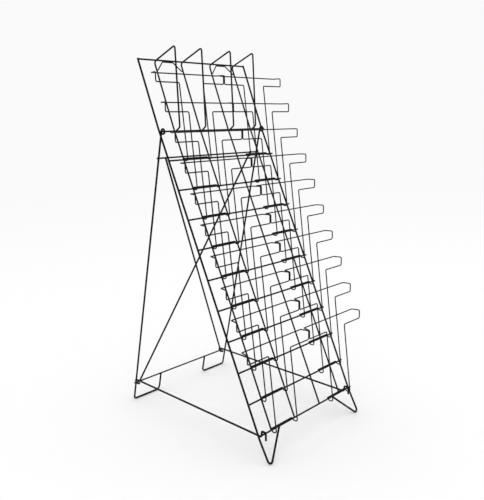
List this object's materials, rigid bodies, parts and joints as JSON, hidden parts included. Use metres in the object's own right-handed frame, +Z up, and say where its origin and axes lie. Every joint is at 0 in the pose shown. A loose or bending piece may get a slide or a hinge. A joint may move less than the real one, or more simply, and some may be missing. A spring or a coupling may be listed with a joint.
{
  "type": "folding magazine rack",
  "caption": "Free-standing folding wire magazine rack: a sloping panel with tiered double pockets, a hinged rear leg frame and two hook-on braces.",
  "frame": {"origin": "middle of the footprint, on the floor", "axes": "+Z up; +X along the rails; -Y towards the customer, so the panel leans back towards +Y as it rises and the rear legs stand on the +Y side"},
  "size_m": [0.4622, 0.5478, 0.9939],
  "materials": {
    "panel_coat": "satin black powder coat",
    "pocket_coat": "satin black powder coat",
    "rear_coat": "satin black powder coat"
  },
  "bodies": {
    "panel": {"side_wire_left": "panel_coat", "side_wire_right": "panel_coat", "top_rail": "panel_coat", "hinge_rail": "panel_coat", "tier_rail_01": "panel_coat", "tier_rail_02": "panel_coat", "tier_rail_03": "panel_coat", "tier_rail_04": "panel_coat", "tier_rail_05": "panel_coat", "tier_rail_06": "panel_coat", "tier_rail_07": "panel_coat", "tier_rail_08": "panel_coat", "tier_rail_09": "panel_coat", "tier_rail_10": "panel_coat", "slope_wire_1": "panel_coat", "slope_wire_2": "panel_coat", "slope_wire_3": "panel_coat", "slope_wire_4": "panel_coat", "header_gusset_left": "panel_coat", "header_gusset_right": "panel_coat", "pocket_left_01": "pocket_coat", "pocket_left_02": "pocket_coat", "pocket_left_03": "pocket_coat", "pocket_left_04": "pocket_coat", "pocket_left_05": "pocket_coat", "pocket_left_06": "pocket_coat", "pocket_left_07": "pocket_coat", "pocket_left_08": "pocket_coat", "pocket_left_09": "pocket_coat", "pocket_left_10": "pocket_coat", "pocket_right_01": "pocket_coat", "pocket_right_02": "pocket_coat", "pocket_right_03": "pocket_coat", "pocket_right_04": "pocket_coat", "pocket_right_05": "pocket_coat", "pocket_right_06": "pocket_coat", "pocket_right_07": "pocket_coat", "pocket_right_08": "pocket_coat", "pocket_right_09": "pocket_coat", "pocket_right_10": "pocket_coat"},
    "rear_frame": {"rear_leg_left": "rear_coat", "rear_leg_right": "rear_coat", "rear_upper_rail": "rear_coat", "rear_lower_rail": "rear_coat", "rear_diagonal_front": "rear_coat", "rear_diagonal_back": "rear_coat"},
    "brace_left": {"brace_left": "rear_coat"},
    "brace_right": {"brace_right": "rear_coat"}
  },
  "joints": [
    {"name": "leg_fold", "type": "hinge", "parent": "panel", "child": "rear_frame", "pos_m": [0, 0.07321, 0.78402], "axis": [-1, 0, 0], "range_deg": [0, 35]},
    {"name": "left_brace_lift", "type": "hinge", "parent": "rear_frame", "child": "brace_left", "pos_m": [-0.1814, 0.26053, 0.05421], "axis": [-1, 0, 0], "range_deg": [0, 5]},
    {"name": "right_brace_lift", "type": "hinge", "parent": "rear_frame", "child": "brace_right", "pos_m": [0.1646, 0.26053, 0.05421], "axis": [-1, 0, 0], "range_deg": [0, 5]}
  ]
}
